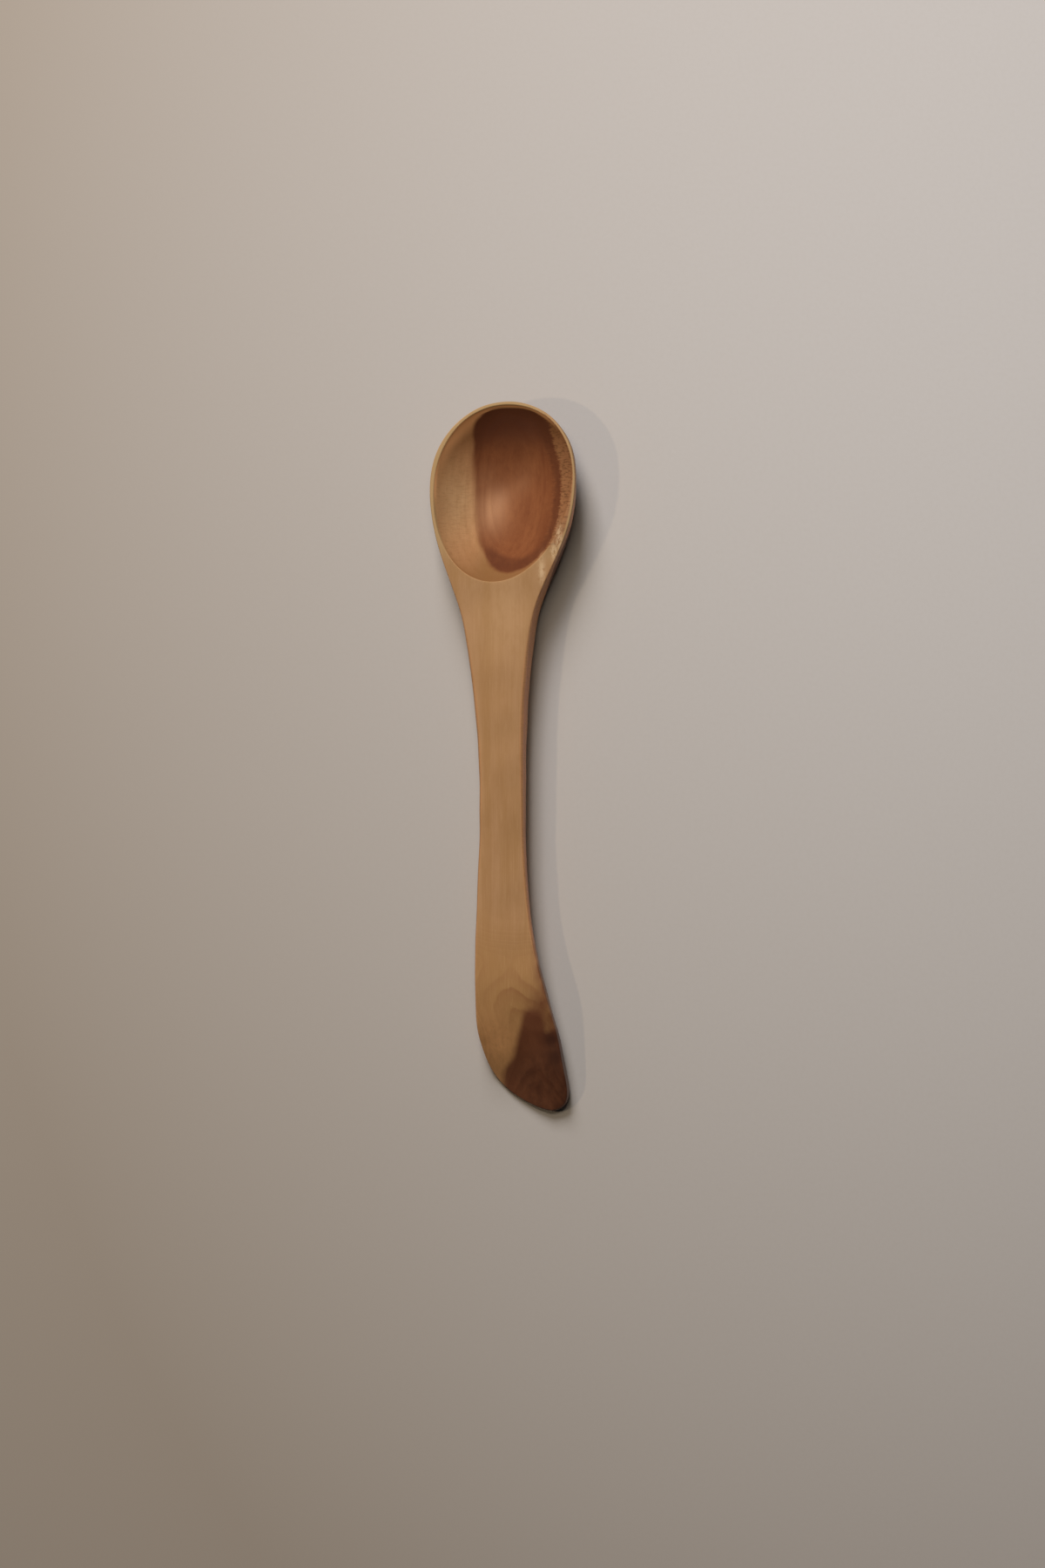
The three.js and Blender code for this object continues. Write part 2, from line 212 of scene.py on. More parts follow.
middle = curve_through([
    (tip_at, TIP_SWAY),
    (0, 0),
    (shoulder_at, SHOULDER_SWAY),
    (hollow_end_at, HOLLOW_END_SWAY),
    (neck_at, NECK_SWAY),
    (waist_at, WAIST_SWAY),
    (flare_at, FLARE_SWAY),
    (bend_at, BEND_SWAY),
    (tail_at, TAIL_SWAY),
    (lobe_at, LOBE_SWAY),
    (end_at, END_SWAY),
])
body_width = curve_through([
    (0, BOWL_WIDTH),
    (shoulder_at, SHOULDER_WIDTH),
    (hollow_end_at, HOLLOW_END_WIDTH),
    (root_at, ROOT_WIDTH),
    (neck_at, NECK_WIDTH),
    (stem_at, STEM_WIDTH),
    (waist_at, WAIST_WIDTH),
    (flare_at, FLARE_WIDTH),
    (bend_at, BEND_WIDTH),
    (tail_at, TAIL_WIDTH),
], 0, 0)
top_height = curve_through([
    (tip_at, RIM_HEIGHT),
    (0, RIM_HEIGHT),
    (shoulder_at, SHOULDER_HEIGHT),
    (hollow_end_at, HOLLOW_END_HEIGHT),
    (root_at, ROOT_HEIGHT),
    (neck_at, NECK_HEIGHT),
    (stem_at, STEM_HEIGHT),
    (waist_at, WAIST_HEIGHT),
    (flare_at, FLARE_HEIGHT),
    (bend_at, BEND_HEIGHT),
    (tail_at, TAIL_HEIGHT),
    (lobe_at, LOBE_HEIGHT),
    (end_at, END_HEIGHT),
])
top_lean = curve_through([
    (bend_at, 0),
    (tail_at, TAIL_LEAN),
    (lobe_at, LOBE_LEAN),
    (end_at, END_LEAN),
], None, 0)
keel_height = curve_through([
    (tip_at, -BOWL_FOOT_CUT),
    (0, -BOWL_FOOT_CUT),
    (shoulder_at, SHOULDER_HEIGHT - SHOULDER_THICKNESS),
    (hollow_end_at, HOLLOW_END_HEIGHT - HOLLOW_END_THICKNESS),
    (root_at, ROOT_HEIGHT - ROOT_THICKNESS),
    (neck_at, NECK_HEIGHT - NECK_THICKNESS),
    (stem_at, STEM_HEIGHT - STEM_THICKNESS),
    (waist_at, WAIST_HEIGHT - WAIST_THICKNESS),
    (flare_at, FLARE_HEIGHT - FLARE_THICKNESS),
    (tail_at, TAIL_HEIGHT - TAIL_THICKNESS),
    (end_at + END_FOOT_LENGTH, -END_FOOT_CUT),
    (end_at, -END_FOOT_CUT),
])
belly = curve_through([
    (tip_at, BOWL_BELLY),
    (0, BOWL_BELLY),
    (shoulder_at, SHOULDER_BELLY),
    (hollow_end_at, HOLLOW_END_BELLY),
    (neck_at, NECK_BELLY),
    (waist_at, WAIST_BELLY),
    (tail_at, TAIL_BELLY),
    (end_at, END_BELLY),
])
softening = curve_through([
    (tip_at, RIM_SOFTENING),
    (0, RIM_SOFTENING),
    (hollow_end_at, RIM_SOFTENING),
    (neck_at, HANDLE_SOFTENING),
    (waist_at, HANDLE_SOFTENING),
    (end_at, RIM_SOFTENING),
])
hollow_middle = curve_through([
    (tip_at, TIP_SWAY + HOLLOW_SWAY),
    (0, HOLLOW_SWAY),
    (hollow_end_at, HOLLOW_END_TURN),
])


def power(base, exponent):
    """A power of numbers that may be a rounding error below zero."""
    return np.maximum(base, 0) ** exponent


def half_width(place):
    """Half the width at a place, with the bowl's round front and the handle's round end."""
    front = power(np.clip(place / TIP_TO_WIDEST, 0, 1), BOWL_ROUNDNESS)
    bowl = BOWL_WIDTH / 2 * power(1 - front, 1 / BOWL_ROUNDNESS)
    back = power(np.clip((tail_at - place) / (tail_at - end_at), 0, 1), END_LENGTHWISE_ROUNDNESS)
    end = TAIL_WIDTH / 2 * power(1 - back, 1 / END_CROSSWISE_ROUNDNESS)
    return np.where(place > 0, bowl, np.where(place < tail_at, end, body_width(place) / 2))


def outline_rows():
    """Places of the rows from the tip to the end, with their turn round the hollow and their slant.

    The turn is 0 at the hollow's front, 1 at its widest place and 2 at its back, and -1 behind it.
    """
    back_at = hollow_end_at - ROW_SLANT
    front = np.arange(FRONT_STEPS + 1) / FRONT_STEPS
    back = np.arange(1, HOLLOW_BACK_STEPS + 1) / HOLLOW_BACK_STEPS
    handle = np.arange(1, HANDLE_STEPS + 1) / HANDLE_STEPS
    end = np.arange(1, END_STEPS + 1) / END_STEPS
    end_out = power(np.sin(math.pi / 2 * end), 2 / END_LENGTHWISE_ROUNDNESS)
    place = np.concatenate([
        TIP_TO_WIDEST * power(np.cos(math.pi / 2 * front), 2 / BOWL_ROUNDNESS),
        back_at * back,
        back_at + (tail_at - back_at) * handle,
        tail_at + (end_at - tail_at) * end_out,
    ])
    turn = np.concatenate([front, 1 + back, np.full(HANDLE_STEPS + END_STEPS, -1.0)])
    slant = np.zeros(len(place))
    first = len(front) + len(back)
    slant[first:first + HANDLE_STEPS] = (1 - handle) ** ROW_SLANT_FADE
    return place, turn, slant


def hollow_edge(turn, side, margin):
    """Points of the hollow's edge, or of a line outside it by a margin, on the side -1 or 1."""
    angle = math.pi / 2 * (1 - turn)
    half = BOWL_WIDTH / 2 - RIM_SIDE + margin
    front = TIP_TO_WIDEST - RIM_FRONT + margin
    sine, cosine = np.sin(angle), np.cos(angle)
    front_place = front * power(sine, 2 / BOWL_ROUNDNESS)
    front_reach = half * power(cosine, 2 / BOWL_ROUNDNESS)
    place = np.where(turn < 1, front_place, (margin - hollow_end_at) * sine)
    reach = np.where(turn < 1, front_reach, half * cosine)
    reach = np.where((turn <= 0) | (turn >= 2), 0, reach)
    return np.stack([hollow_middle(place) + side * reach, place], 1)


def top_edge_height(points):
    """The height of the top face without its crown, at points seen from above."""
    to_right = points[:, 0] - middle(points[:, 1])
    return top_height(points[:, 1]) + top_lean(points[:, 1]) * to_right


def top_face_height(points):
    """The height of the top face at points seen from above."""
    half = np.maximum(half_width(points[:, 1]), WELD_DISTANCE)
    across = np.minimum(np.abs(points[:, 0] - middle(points[:, 1])) / half, 1)
    return top_edge_height(points) + HANDLE_CROWN * (1 - across**2)


def shifted_line(line, distance):
    """Moves each point of a closed line seen from above to the left of its direction."""
    along = np.roll(line, -1, 0) - np.roll(line, 1, 0)
    along /= np.linalg.norm(along, axis=1, keepdims=True)
    return line + np.stack([-along[:, 1], along[:, 0]], 1) * distance[:, None]


def raised(line, height):
    return np.column_stack([line, height])


# The closed outline runs down the left side from the tip to the end, and back up the right side.
place, turn, slant = outline_rows()
mirror = slice(-2, 0, -1)
side = np.concatenate([np.full(len(place), -1.0), np.full(len(place) - 2, 1.0)])
place = np.concatenate([place, place[mirror]])
turn = np.concatenate([turn, turn[mirror]])
slant = np.concatenate([slant, slant[mirror]])
inside = (place > end_at) & (place < tip_at)
outline = np.stack([middle(place) + side * np.where(inside, half_width(place), 0), place], 1)


def underside_rings():
    """The underside, from the keel out and up to the outline."""
    keel_place = np.clip(place, tail_at, 0)
    keel = np.stack([middle(keel_place), keel_place], 1)
    fullness = belly(np.minimum(place, 0))
    rings = []
    for step in range(FLANK_STEPS + 1):
        angle = math.pi / 2 * (1 - step / FLANK_STEPS)
        reach = power(math.cos(angle), 2 / fullness) if step > 0 else 0 * fullness
        depth = power(math.sin(angle), 2 / fullness)
        points = keel + (outline - keel) * reach[:, None]
        edge_height = top_edge_height(points) - softening(points[:, 1])
        height = edge_height + (keel_height(points[:, 1]) - edge_height) * depth
        rings.append(raised(points, height))
    return rings


def top_rings():
    """The top face, from the outline over its softened edge and in to the hollow or the middle."""
    beside = turn >= 0
    lip_end = hollow_edge(np.array([2.0]), 1, HOLLOW_EDGE_SOFTENING)[0]
    ahead = np.maximum(place, tail_at) + (lip_end[1] - hollow_end_at + ROW_SLANT) * slant
    behind = np.stack([middle(ahead) + (lip_end[0] - middle(lip_end[1])) * slant, ahead], 1)
    target = np.where(beside[:, None], hollow_edge(turn, side, HOLLOW_EDGE_SOFTENING), behind)
    rings = []
    for step in range(1, EDGE_STEPS + 1):
        angle = math.pi / 2 * step / EDGE_STEPS
        line = shifted_line(outline, softening(place) * (1 - math.cos(angle)))
        drop = softening(place) * (1 - math.sin(angle))
        rings.append(raised(line, top_face_height(line) - drop))
    inner = rings[-1][:, :2]
    for step in range(1, TOP_STEPS + 1):
        line = inner + (target - inner) * step / TOP_STEPS
        rings.append(raised(line, top_face_height(line)))
    return rings


def hollow_rings():
    """The hollow, from its lip over its softened edge and down to its deepest point."""
    beside = turn >= 0
    edge = hollow_edge(turn[beside], side[beside], 0)
    edge_height = top_face_height(edge) - HOLLOW_EDGE_SOFTENING
    deepest = np.array([hollow_middle(-WIDEST_TO_DEEPEST), -WIDEST_TO_DEEPEST])
    rings = []
    for step in range(EDGE_STEPS):
        inward = step / EDGE_STEPS
        line = hollow_edge(turn[beside], side[beside], HOLLOW_EDGE_SOFTENING * (1 - inward))
        drop = HOLLOW_EDGE_SOFTENING * inward**2
        rings.append(raised(line, top_face_height(line) - drop))
    for step in range(HOLLOW_STEPS + 1):
        out = math.cos(math.pi / 2 * step / HOLLOW_STEPS)
        line = deepest + (edge - deepest) * out
        depth = power(1 - out**2, HOLLOW_STEEPNESS)
        rings.append(raised(line, edge_height + (FLOOR_THICKNESS - edge_height) * depth))
    return rings


def skin(rings):
    """The points and faces of closed rings that follow each other over the surface."""
    count = len(rings[0])
    i = np.arange(count)
    following = (i + 1) % count
    faces = [
        np.stack([i, following, following + count, i + count], 1) + ring * count
        for ring in range(len(rings) - 1)
    ]
    return np.concatenate(rings), np.concatenate(faces)


# Slight waves that a knife and sandpaper leave, as a sum of plane waves over the surface.
RIPPLE_SEED = 7
RIPPLE_COUNT = 14
RIPPLE_DEPTH = 0.05
RIPPLE_SHORTEST = 7
RIPPLE_LONGEST = 22
RIPPLE_FREE_HEIGHT = 1.5


def ripple(points):
    """How far the surface stands out from its even form at each point."""
    chance = np.random.default_rng(RIPPLE_SEED)
    direction = chance.normal(size=(RIPPLE_COUNT, 3))
    direction /= np.linalg.norm(direction, axis=1, keepdims=True)
    length = chance.uniform(RIPPLE_SHORTEST, RIPPLE_LONGEST, RIPPLE_COUNT)
    phase = chance.uniform(0, 2 * math.pi, RIPPLE_COUNT)
    waves = np.sin(points @ direction.T * (2 * math.pi / length) + phase)
    return RIPPLE_DEPTH * waves.sum(1) * math.sqrt(2 / RIPPLE_COUNT)


def spoon_mesh():
    """The carved spoon as a mesh in millimetres."""
    body, body_faces = skin(underside_rings() + top_rings())
    hollow, hollow_faces = skin(hollow_rings())
    mesh = bpy.data.meshes.new("spoon_carved")
    points = np.concatenate([body, hollow])
    faces = np.concatenate([body_faces, hollow_faces + len(body)])
    mesh.from_pydata(points.tolist(), [], faces.tolist())
    work = bmesh.new()
    work.from_mesh(mesh)
    bmesh.ops.remove_doubles(work, verts=work.verts, dist=WELD_DISTANCE)
    bmesh.ops.dissolve_degenerate(work, edges=work.edges, dist=WELD_DISTANCE)
    bmesh.ops.recalc_face_normals(work, faces=work.faces)
    work.to_mesh(mesh)
    work.free()
    return mesh


def read_points(mesh, what):
    values = np.zeros(len(mesh.vertices) * 3)
    mesh.vertices.foreach_get(what, values)
    return values.reshape(-1, 3)


def carve(mesh):
    """Adds the ripple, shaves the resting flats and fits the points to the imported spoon's box.

    Returns the points in millimetres, their normals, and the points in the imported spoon's place.
    """
    points = read_points(mesh, "co")
    normals = read_points(mesh, "normal")
    free = np.clip(points[:, 2:] / RIPPLE_FREE_HEIGHT, 0, 1)
    points = points + normals * ripple(points)[:, None] * free
    points[:, 2] = np.maximum(points[:, 2], 0)
    low, high = (np.array(corner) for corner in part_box("spoon"))
    own_low, own_high = points.min(0), points.max(0)
    placed = low + (points - own_low) / (own_high - own_low) * (high - low)
    return points, normals, placed


# The tree's own frame, as (place along the spoon, value) pairs. The growth rings run round a pith
# that lies under the spoon, closest to the deepest place of the hollow.
RING_TURN = [
    (tip_at, 1.2),
    (0, 0.6),
    (hollow_end_at, 1.0),
    (waist_at, 1.4),
    (-118, 2.6),
    (-131, 3.4),
    (-138, 7.0),
    (end_at, 8.5),
]
RING_HEIGHT = [
    (tip_at, 0.5),
    (8, -1.9),
    (0, -2.4),
    (-15, -2.2),
    (hollow_end_at, -4.6),
    (waist_at, -7.0),
    (-112, -6.4),
    (-126, -4.25),
    (-131.6, -3.0),
    (-138, -3.3),
    (-148, -5.5),
    (end_at, -6.5),
]

# The dark heartwood of the bowl fills a round core that isn't quite in line with the rings.
HEART_TURN = [
    (tip_at, 3.0),
    (17.5, 2.6),
    (9.2, 2.7),
    (4.7, 3.2),
    (-0.5, 3.9),
    (-8.2, 4.7),
    (-15, 5.1),
    (-20.1, 4.9),
    (-22.5, 3.9),
    (neck_at, 2.0),
    (end_at, 2.0),
]
HEART_HEIGHT = [
    (tip_at, 0.2),
    (17.5, 0.7),
    (15.5, 1.0),
    (9.2, -0.8),
    (4.7, -0.6),
    (-0.5, -0.7),
    (-8.2, 0.1),
    (-15, -0.2),
    (-20.1, -1.8),
    (-22.5, -2.7),
    (-28, -7.0),
    (neck_at, -12.0),
    (end_at, -12.0),
]
HEART_RADIUS = 14.3

# Round the tip, the core is this much smaller in the rim, so that the rim stays pale.
TIP_SAPWOOD = 4.0
TIP_SAPWOOD_ALONG = (6, 12)
TIP_SAPWOOD_BELOW_RIM = (1.1, 0.2)

# In the end of the handle the heartwood rises to the top face as a tongue. Beyond a line through
# the notch's corner it runs out to the right edge, where a branch was cut off.
TONGUE_TOP = -132.8
TONGUE_LEFT = [
    (-130, 5.9),
    (-134.7, 4.7),
    (-138.7, 3.4),
    (-143.3, 1.8),
    (-146, 0.6),
    (-148.5, -1.5),
    (-151, -2.1),
    (end_at, -2.6),
]
TONGUE_RIGHT = [
    (-130, 9.4),
    (-134.5, 9.9),
    (-138.8, 10.4),
    (-142, 11.5),
]
NOTCH_CORNER = (10.4, -138.6)
NOTCH_SLOPE = 0.45

# How widely the corners of the tongue's outline are rounded off.
TONGUE_BLEND = 1.0
TONGUE_TOP_BLEND = 2.0
STUMP_BLEND = 0.6
NOTCH_BLEND = 0.4

# Soft-edged spots seen from above: place, reach and strength.
BRANCH_SPOTS = [
    ((11.6, -140.8), (2.4, 2.6), 1.0),
    ((12.6, -145.0), (2.8, 3.4), 0.9),
    ((14.2, -149.0), (1.6, 3.2), 0.5),
]
STAIN_SPOTS = [
    ((9.8, -131.4), (3.2, 3.2), 1.0),
    ((12.2, -135.8), (2.9, 3.8), 1.0),
    ((10.4, -127.5), (1.8, 4.6), 1.0),
    ((9.2, -123.5), (1.5, 3.6), 1.0),
    ((7.8, -118.0), (0.9, 4.0), 0.5),
]
ARC_SPOTS = [
    ((4.0, -129.0), (7.5, 5.5), 0.8),
]
# Pale streaks on the bowl's right rim near the neck, where its edge catches light: a painted highlight, with
# a slight raised relief.
PAINTED_GLINT_SPOTS = [
    ((14.6, -14.0), (0.8, 3.0), 1.0),
    ((13.2, -17.5), (0.8, 2.0), 1.0),
    ((10.0, -22.5), (0.7, 3.0), 1.0),
]
# Lighter spots on the bowl's left wall, on the top of the neck and on the left of the handle's end: painted
# light.
PAINTED_LIGHT_SPOTS = [
    ((-12.8, -4.8), (5.6, 8.0), 1.0),
    ((1.5, -33.0), (9.0, 12.0), 0.5),
    ((-4.2, -141.4), (7.4, 6.6), 1.0),
]
# A pale oval in the heartwood of the hollow: a painted highlight.
PAINTED_HIGHLIGHT_SPOTS = [
    ((-5.0, -6.6), (3.7, 5.4), 1.0),
    ((-6.5, -0.5), (3.2, 5.0), 0.3),
]

# Each pair below is where a tone starts to show and where it is full. First, along the spoon.
END_TONE = (-104, -124)
# Towards the bowl's tip the heartwood is painted darker, a painted shade, and its dark border is wider.
NORTH_TONE = (6, 15)
# The hollow's right wall gets a darker tone, partly the wood's own flecks and partly painted shade.
RIGHT_WALL_ALONG = (-20, -15)
RIGHT_RIM_ALONG = (-19, -15)
# Between these places the handle's right flank is painted lighter and warmer: painted light.
FLANK_FROM_BOWL = (8, -6)
FLANK_FROM_END = (-126, -116)
# The hollow's upper left wall and lip are painted lighter than the rest of the sapwood: painted light.
FRONT_LEFT_ALONG = (-2, 11)
FRONT_LEFT_DEEPER = (7, 13)
LEFT_LIP_ALONG = (-9, 0)
TIP_LIP_ALONG = (12, 17)
WIDE_BORDER_ALONG = (-14, -20)
FADED_BORDER_FROM_TIP = (11, 3)
FADED_BORDER_FROM_NECK = (-19, -13)
END_BORDER_ALONG = (-140, -147)

# Across the spoon.
RIGHT_WALL_ACROSS = (8, 12)
FLANK_ACROSS = (0, 2)
FRONT_LEFT_ACROSS = (2, -5)
LEFT_LIP_ACROSS = (-4, -11)
WIDE_BORDER_ACROSS = (4, 9)
FADED_BORDER_ACROSS = (1, -5)

# Inward from the outline, and down from the top face, the rim or the root of the handle.
RIM_BREADTH = (0.3, 0.9)
HOLLOW_DEPTH = (0.02, 0.3)
LIP_DEPTH = (1.2, 0.4)
RIM_DEPTH = (0.9, 0.3)
PAINTED_GLINT_DEPTH = (2.5, 1)

# Up the left wall of the hollow, and how much lower the tone starts towards the tip.
FRONT_LEFT_UP = (10.4, 13.1)
FRONT_LEFT_LOWER = (1.0, 0.8)

# In how far the surface faces up, from 0 for upright to 1 for level.
FACING_UP = (0.1, 0.3)
FACING_ASIDE = (0.7, 0.2)

# Strength of the dark border of the heartwood, and how much of it fades away.
BORDER_FADE = 0.85
END_BORDER = 0.5
END_BORDER_FADE = 0.25
WIDE_BORDER_ON_RIGHT = 0.6


def eased(value, low, high):
    """A smooth step from 0 to 1 as the value goes from low to high, which may be the smaller."""
    share = np.clip((value - low) / (high - low), 0, 1)
    return share * share * (3 - 2 * share)


def below(level, depths):
    """The two heights that lie these depths below a level."""
    return level - depths[0], level - depths[1]


def least(first, second, blend):
    """The smaller of two fields, with their corner rounded off."""
    near = np.clip(0.5 + (second - first) / (2 * blend), 0, 1)
    return second + (first - second) * near - blend * near * (1 - near)


def heart_depth(points):
    """How deep each point lies inside the heartwood, in millimetres."""
    x, y, z = points.T
    trunk = HEART_RADIUS - np.hypot(x - curve_through(HEART_TURN)(y), z - curve_through(HEART_HEIGHT)(y))
    in_rim = eased(z, *below(RIM_HEIGHT, TIP_SAPWOOD_BELOW_RIM))
    trunk = trunk - TIP_SAPWOOD * in_rim * eased(y, *TIP_SAPWOOD_ALONG)
    left = x - curve_through(TONGUE_LEFT)(y)
    tongue = least(left, curve_through(TONGUE_RIGHT)(y) - x, TONGUE_BLEND)
    tongue = least(tongue, TONGUE_TOP - y, TONGUE_TOP_BLEND)
    notch = NOTCH_CORNER[1] + NOTCH_SLOPE * (x - NOTCH_CORNER[0]) - y
    stump = least(left, notch, STUMP_BLEND)
    tongue = -least(-tongue, -stump, NOTCH_BLEND)
    return np.where(y > waist_at, trunk, tongue)


def border_strength(points):
    """How dark the heartwood's border is. It fades out along the middle of the bowl's left side."""
    x, y, _ = points.T
    faded = eased(x, *FADED_BORDER_ACROSS)
    faded = faded * eased(y, *FADED_BORDER_FROM_TIP) * eased(y, *FADED_BORDER_FROM_NECK)
    at_end = END_BORDER - END_BORDER_FADE * eased(y, *END_BORDER_ALONG)
    return np.where(y > waist_at, 1 - BORDER_FADE * faded, at_end)


def spots(points, places):
    """The strongest of a few soft-edged spots at each point."""
    x, y, _ = points.T
    strongest = np.zeros(len(points))
    for (spot_x, spot_y), (reach_x, reach_y), strength in places:
        away = ((x - spot_x) / reach_x) ** 2 + ((y - spot_y) / reach_y) ** 2
        strongest = np.maximum(strongest, strength * np.exp(-away))
    return strongest


def bowl_tones(points, facing_up):
    """How far each point belongs to the right wall, whose darker tone is partly painted shade, to the upper
    left wall and lip of the hollow, painted lighter as painted light, and to the pale rim.
    """
    x, y, z = points.T
    top = top_face_height(points[:, :2])
    facing = eased(facing_up, *FACING_UP)
    in_hollow = eased(top - z, *HOLLOW_DEPTH) * facing
    within = half_width(y) - np.abs(x - middle(y))
    within_rim = eased(within, *RIM_BREADTH) * eased(y, *RIGHT_RIM_ALONG) * facing
    right_wall = eased(x, *RIGHT_WALL_ACROSS) * eased(y, *RIGHT_WALL_ALONG)
    right_wall = right_wall * np.maximum(in_hollow, within_rim)
    deeper = eased(y, *FRONT_LEFT_DEEPER)
    low, high = (up - deeper * lower for up, lower in zip(FRONT_LEFT_UP, FRONT_LEFT_LOWER))
    # The upper left wall and lip of the hollow get a painted light.
    front_left = eased(z, low, high) * eased(x, *FRONT_LEFT_ACROSS) * eased(y, *FRONT_LEFT_ALONG)
    lip = eased(z, *below(top, LIP_DEPTH))
    left_lip = eased(x, *LEFT_LIP_ACROSS) * eased(y, *LEFT_LIP_ALONG)
    lit_lip = lip * np.maximum(left_lip, eased(y, *TIP_LIP_ALONG))
    front_left = np.maximum(front_left, lit_lip) * in_hollow
    rim = eased(z, *below(RIM_HEIGHT, RIM_DEPTH)) * eased(y, hollow_end_at, shoulder_at)
    return right_wall, front_left, rim * (1 - front_left) * (1 - right_wall)


def add_vectors(mesh, name, *columns):
    attribute = mesh.attributes.new(name, "FLOAT_VECTOR", "POINT")
    attribute.data.foreach_set("vector", np.stack(columns, 1).astype(np.float32).ravel())


def add_wood_frame(mesh, points, normals):
    """Stores where each point lies in the wood, in millimetres, and its tones, for the material."""
    x, y, z = points.T
    facing_right, facing_along, facing_up = normals.T
    at_end = eased(y, *END_TONE)
    right_wall, front_left, rim = bowl_tones(points, facing_up)
    # The handle's right flank is painted lighter: painted light.
    painted_flank_light = eased(facing_up, *FACING_ASIDE) * eased(x, *FLANK_ACROSS)
    painted_flank_light = painted_flank_light * eased(y, *FLANK_FROM_BOWL) * eased(y, *FLANK_FROM_END)
    on_right = WIDE_BORDER_ON_RIGHT * eased(x, *WIDE_BORDER_ACROSS)
    wide_border = np.maximum(eased(y, *WIDE_BORDER_ALONG), on_right)
    # Pale streaks painted as a highlight on the right rim near the neck.
    torn = spots(points, PAINTED_GLINT_SPOTS) * eased(z, *below(ROOT_HEIGHT, PAINTED_GLINT_DEPTH))
    pale, stain, branch = (spots(points, places) for places in (PAINTED_LIGHT_SPOTS, STAIN_SPOTS, BRANCH_SPOTS))
    add_vectors(mesh, "wood_place", x, y, z)
    add_vectors(mesh, "from_pith", x - curve_through(RING_TURN)(y), y, z - curve_through(RING_HEIGHT)(y))
    add_vectors(mesh, "heart", heart_depth(points), border_strength(points), at_end)
    add_vectors(mesh, "cut", np.abs(facing_right), np.abs(facing_along), right_wall)
    # The rim, pale streaks painted as a highlight, and the heartwood painted darker towards the tip as
    # shade.
    add_vectors(mesh, "rim_painted_glint_and_shade", rim, torn, eased(y, *NORTH_TONE))
    # The lighter spots here are painted light; the stain and the branch are the wood's own.
    add_vectors(mesh, "tint", pale, stain, branch)
    # These three are painted light: the lighter upper left wall and lip of the hollow, a painted highlight
    # in the heartwood, and the lighter right flank of the handle.
    add_vectors(mesh, "gleam", front_left, spots(points, PAINTED_HIGHLIGHT_SPOTS), painted_flank_light)
    add_vectors(mesh, "end", spots(points, ARC_SPOTS), wide_border, np.zeros(len(points)))


def linear(red, green, blue):
    """A colour given in 8-bit screen values, as the shaders take it."""
    values = np.array([red, green, blue]) / 255
    values = np.where(values <= 0.04045, values / 12.92, ((values + 0.055) / 1.055) ** 2.4)
    return (*values.tolist(), 1.0)


class Shader:
    """Short calls that add nodes to a material and return their outputs."""

    def __init__(self, name):
        self.material = bpy.data.materials.new(name)
        self.material.use_nodes = True
        self.tree = self.material.node_tree
        self.surface = self.tree.nodes["Principled BSDF"]

    def put(self, socket, value):
        if isinstance(value, bpy.types.NodeSocket):
            self.tree.links.new(value, socket)
        else:
            socket.default_value = value

    def attribute(self, name):
        """The three parts of a vector stored on the mesh."""
        return self.separate(self.vector_attribute(name))

    def vector_attribute(self, name):
        node = self.tree.nodes.new("ShaderNodeAttribute")
        node.attribute_name = name
        return node.outputs["Vector"]

    def math(self, operation, *values, clamp=False):
        node = self.tree.nodes.new("ShaderNodeMath")
        node.operation = operation
        node.use_clamp = clamp
        for socket, value in zip(node.inputs, values):
            self.put(socket, value)
        return node.outputs[0]

    def product(self, first, second):
        return self.math("MULTIPLY", first, second)

    def vector(self, operation, *values, output=0):
        node = self.tree.nodes.new("ShaderNodeVectorMath")
        node.operation = operation
        for socket, value in zip(node.inputs, values):
            self.put(socket, value)
        return node.outputs[output]

    def combine(self, x, y, z):
        node = self.tree.nodes.new("ShaderNodeCombineXYZ")
        for socket, value in zip(node.inputs, (x, y, z)):
            self.put(socket, value)
        return node.outputs[0]

    def separate(self, vector):
        node = self.tree.nodes.new("ShaderNodeSeparateXYZ")
        self.put(node.inputs[0], vector)
        return node.outputs[0], node.outputs[1], node.outputs[2]

    def noise(self, vector, scale, detail=2.0, roughness=0.5, output="Fac"):
        node = self.tree.nodes.new("ShaderNodeTexNoise")
        self.put(node.inputs["Vector"], vector)
        node.inputs["Scale"].default_value = scale
        node.inputs["Detail"].default_value = detail
        node.inputs["Roughness"].default_value = roughness
        return node.outputs[output]

    def stretched(self, vector, size, **options):
        """Noise whose features have about this size in x, y and z, in millimetres."""
        return self.noise(self.vector("DIVIDE", vector, size), 1.0, **options)

    def ramp(self, value, low, high, low_value=0.0, high_value=1.0):
        """A smooth step between two values as the input goes from low to high."""
        node = self.tree.nodes.new("ShaderNodeMapRange")
        node.interpolation_type = "SMOOTHSTEP"
        numbers = (value, low, high, low_value, high_value)
        for socket, number in zip(node.inputs, numbers):
            self.put(socket, number)
        return node.outputs[0]

    def mix(self, share, first, second):
        node = self.tree.nodes.new("ShaderNodeMix")
        node.data_type = "RGBA"
        for index, value in ((0, share), (6, first), (7, second)):
            self.put(node.inputs[index], value)
        return node.outputs[2]

    def tinted(self, base, colour, pattern, low, high, share=1.0):
        """The base with a share of another colour, where the pattern goes from low to high."""
        return self.mix(self.ramp(pattern, low, high, high_value=share), base, colour)

    def bump(self, height, distance):
        node = self.tree.nodes.new("ShaderNodeBump")
        node.inputs["Strength"].default_value = 1.0
        node.inputs["Distance"].default_value = distance
        self.put(node.inputs["Height"], height)
        return node.outputs[0]


